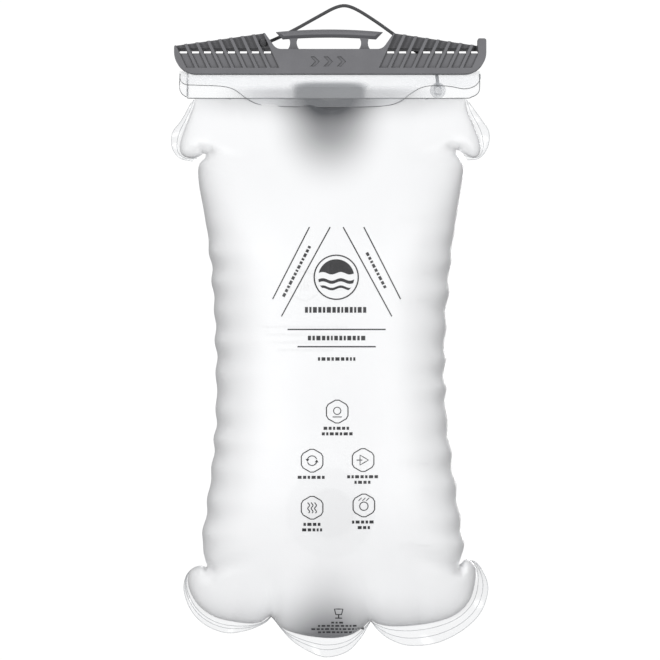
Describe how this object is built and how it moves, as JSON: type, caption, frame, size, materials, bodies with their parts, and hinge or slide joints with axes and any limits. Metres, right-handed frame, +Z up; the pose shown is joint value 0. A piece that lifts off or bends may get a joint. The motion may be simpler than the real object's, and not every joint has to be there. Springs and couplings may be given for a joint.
{
  "type": "hydration bladder",
  "caption": "Flexible drinking-water reservoir with a folded mouth sealed by a slide-off clamp, a hanging handle and a quick-release tube port on the back",
  "frame": {"origin": "middle of the hanger slot, between the closure's rail and the handle's bar", "axes": "+Z up as it hangs, the printed front faces -Y, the closure slides off towards +X"},
  "size_m": [0.1676, 0.0923, 0.3473],
  "materials": {
    "frosted_film": "satin translucent film",
    "clear_film": "clear gloss film",
    "rail_plastic": "clear semi-rigid strip",
    "grey_plastic": "fine spark-textured moulding",
    "cord": "round elastic cord",
    "port_plastic": "smooth moulding",
    "button_plastic": "smooth moulding",
    "seal_rubber": "silicone rubber",
    "steel": "spring wire",
    "print_ink": "screen-printed ink"
  },
  "bodies": {
    "reservoir": {"front_panel": "frosted_film", "back_panel": "frosted_film", "front_mouth_lip": "clear_film", "back_mouth_lip": "clear_film", "fold_rail": "rail_plastic", "tether_cord": "cord", "tether_anchor": "clear_film", "port_flange": "rail_plastic", "port_housing": "port_plastic", "housing_gasket": "seal_rubber", "retaining_ring": "port_plastic", "button_spring": "steel", "poppet_guide": "port_plastic", "poppet_spring": "steel"},
    "closure": {"slide_closure": "grey_plastic", "hanger_handle": "grey_plastic", "tether_knot": "cord"},
    "release_button": {"latch_plate": "port_plastic", "release_button": "button_plastic"},
    "poppet": {"poppet": "port_plastic", "poppet_seal": "seal_rubber"}
  },
  "joints": [
    {"name": "closure_slide", "type": "slide", "parent": "reservoir", "child": "closure", "axis": [1, 0, 0], "range_m": [0, 0.165], "deforming": ["tether_cord"]},
    {"name": "button_press", "type": "slide", "parent": "reservoir", "child": "release_button", "axis": [0, 0, -1], "range_m": [0, 0.0022], "stiffness_N_per_m": 600, "springref_m": -0.002, "deforming": ["button_spring"]},
    {"name": "poppet_open", "type": "slide", "parent": "reservoir", "child": "poppet", "axis": [0, -1, 0], "range_m": [0, 0.003], "stiffness_N_per_m": 400, "springref_m": -0.003, "deforming": ["poppet_spring"]}
  ]
}
